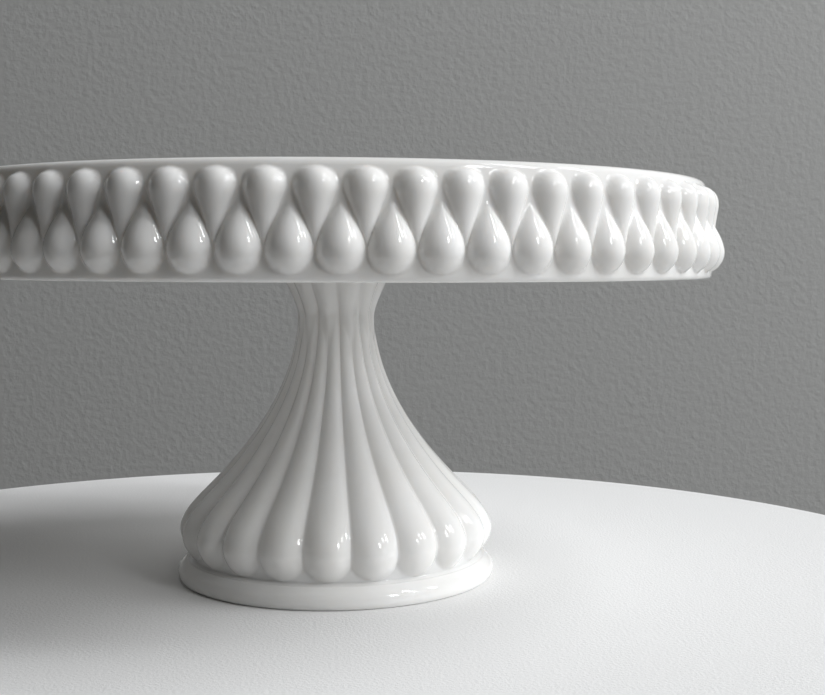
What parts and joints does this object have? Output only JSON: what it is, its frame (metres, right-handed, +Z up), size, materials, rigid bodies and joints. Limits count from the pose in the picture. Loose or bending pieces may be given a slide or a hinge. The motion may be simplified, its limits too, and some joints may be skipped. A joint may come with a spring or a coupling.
{
  "type": "cake stand",
  "caption": "Round pedestal cake stand of opaque white pressed glass, with a drop-moulded hanging skirt and a fluted hollow foot.",
  "frame": {"origin": "centre of the foot ring, on the surface that the stand rests on", "axes": "+Z up along the axis of the plate and the pedestal; -Y is the front, where a lower drop is centred; X and Y are otherwise free, the stand being round"},
  "size_m": [0.2762, 0.2766, 0.1419],
  "materials": {
    "milk_glass": "glossy opaque white pressed glass, fire-polished"
  },
  "bodies": {
    "root": {"plate": "milk_glass", "joint_wafer": "milk_glass", "pedestal": "milk_glass"}
  },
  "joints": []
}
